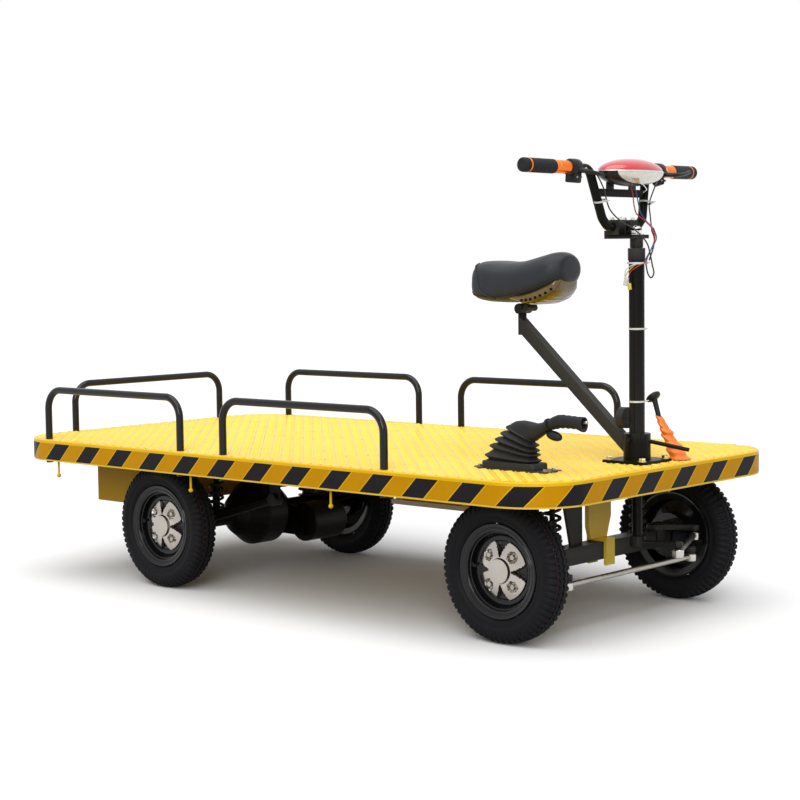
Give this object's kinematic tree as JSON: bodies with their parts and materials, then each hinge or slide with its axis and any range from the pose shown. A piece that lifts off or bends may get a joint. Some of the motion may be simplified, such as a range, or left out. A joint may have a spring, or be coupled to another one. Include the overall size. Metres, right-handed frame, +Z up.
{
  "type": "electric flatbed cart",
  "caption": "Electric platform cart: checker-plate deck with side hoops, steered front wheels, handlebar column, saddle, handbrake and shift lever.",
  "frame": {"origin": "on the ground under the middle of the deck", "axes": "+X forward, +Y to the cart's left, +Z up"},
  "size_m": [1.94, 1, 1.1319],
  "materials": {
    "deck_yellow": "gloss yellow paint on checker plate",
    "black_gloss": "gloss black paint",
    "frame_black": "satin black paint",
    "tyre": "black tyre rubber",
    "rim_black": "gloss black steel rim",
    "chrome": "chromed hub cap",
    "vinyl": "dark vinyl cover",
    "pan_plastic": "moulded black pan",
    "boot_rubber": "folded black rubber",
    "boot_orange": "folded orange rubber",
    "board": "plain board",
    "zinc": "zinc plated steel",
    "grip_rubber": "ribbed grip rubber",
    "grip_orange": "orange anodised collar",
    "control_black": "black control housings",
    "lamp_red": "red lamp cowl",
    "lamp_clear": "clear lamp lens",
    "lamp_black": "black lamp shell"
  },
  "bodies": {
    "chassis": {"deck": "deck_yellow", "hoop_rear_right": "black_gloss", "hoop_front_right": "black_gloss", "hoop_rear_left": "black_gloss", "hoop_front_left": "black_gloss", "hoop_rear": "black_gloss", "edge_rails": "deck_yellow", "centre_rails": "deck_yellow", "cross_members": "deck_yellow", "rope_pins": "deck_yellow", "column_base": "black_gloss", "column_tube": "black_gloss", "column_housing": "black_gloss", "seat_arm": "black_gloss", "seat_post": "black_gloss", "saddle": "vinyl", "saddle_pan": "pan_plastic", "handbrake_plate": "frame_black", "handbrake_boot": "boot_rubber", "handbrake_lever": "control_black", "shift_boot": "boot_orange", "shift_lever": "control_black", "horn": "frame_black", "battery_box": "deck_yellow", "tray_board": "board", "front_axle": "frame_black", "front_post": "deck_yellow", "springs": "frame_black", "rear_axle": "frame_black", "motor": "frame_black", "trailing_links": "frame_black"},
    "steering": {"stem": "black_gloss", "bar_clamp": "frame_black", "handlebar": "black_gloss", "grips": "grip_rubber", "grip_collars": "grip_orange", "bar_controls": "control_black", "lamp_cowl": "lamp_red", "lamp_lens": "lamp_clear", "lamp_body": "lamp_black"},
    "knuckle_left": {"knuckle_left": "frame_black"},
    "knuckle_right": {"knuckle_right": "frame_black"},
    "tie_rod": {"tie_rod": "zinc"},
    "drag_link": {"drag_link": "zinc"},
    "wheel_front_left": {"tyre_front_left": "tyre", "rim_front_left": "rim_black", "cap_front_left": "chrome"},
    "wheel_front_right": {"tyre_front_right": "tyre", "rim_front_right": "rim_black", "cap_front_right": "chrome"},
    "wheel_rear_left": {"tyre_rear_left": "tyre", "rim_rear_left": "rim_black", "cap_rear_left": "chrome"},
    "wheel_rear_right": {"tyre_rear_right": "tyre", "rim_rear_right": "rim_black", "cap_rear_right": "chrome"}
  },
  "joints": [
    {"name": "steering", "type": "hinge", "parent": "chassis", "child": "steering", "pos_m": [0.866, 0, 0.6], "axis": [0, 0, 1], "range_deg": [-32, 32]},
    {"name": "knuckle_left", "type": "hinge", "parent": "chassis", "child": "knuckle_left", "pos_m": [0.744, 0.262, 0.172], "axis": [0, 0, 1], "range_deg": [-32, 32]},
    {"name": "knuckle_right", "type": "hinge", "parent": "chassis", "child": "knuckle_right", "pos_m": [0.744, -0.262, 0.172], "axis": [0, 0, 1], "range_deg": [-32, 32]},
    {"name": "tie_rod", "type": "hinge", "parent": "knuckle_left", "child": "tie_rod", "pos_m": [0.85, 0.262, 0.134], "axis": [0, 0, 1], "range_deg": [-32, 32]},
    {"name": "drag_link", "type": "hinge", "parent": "steering", "child": "drag_link", "pos_m": [0.954, 0.045, 0.182], "axis": [0, 0, 1], "range_deg": [-32, 32]},
    {"name": "spin_front_left", "type": "hinge", "parent": "knuckle_left", "child": "wheel_front_left", "pos_m": [0.744, 0.361, 0.172], "axis": [0, 1, 0], "continuous": true},
    {"name": "spin_front_right", "type": "hinge", "parent": "knuckle_right", "child": "wheel_front_right", "pos_m": [0.744, -0.361, 0.172], "axis": [0, 1, 0], "continuous": true},
    {"name": "spin_rear_left", "type": "hinge", "parent": "chassis", "child": "wheel_rear_left", "pos_m": [-0.454, 0.361, 0.172], "axis": [0, 1, 0], "continuous": true},
    {"name": "spin_rear_right", "type": "hinge", "parent": "chassis", "child": "wheel_rear_right", "pos_m": [-0.454, -0.361, 0.172], "axis": [0, 1, 0], "continuous": true}
  ],
  "couplings": [
    {"joint": "knuckle_left", "follows": "steering", "ratio": 1},
    {"joint": "knuckle_right", "follows": "steering", "ratio": 1},
    {"joint": "tie_rod", "follows": "steering", "ratio": -1},
    {"joint": "drag_link", "follows": "steering", "ratio": -1}
  ]
}
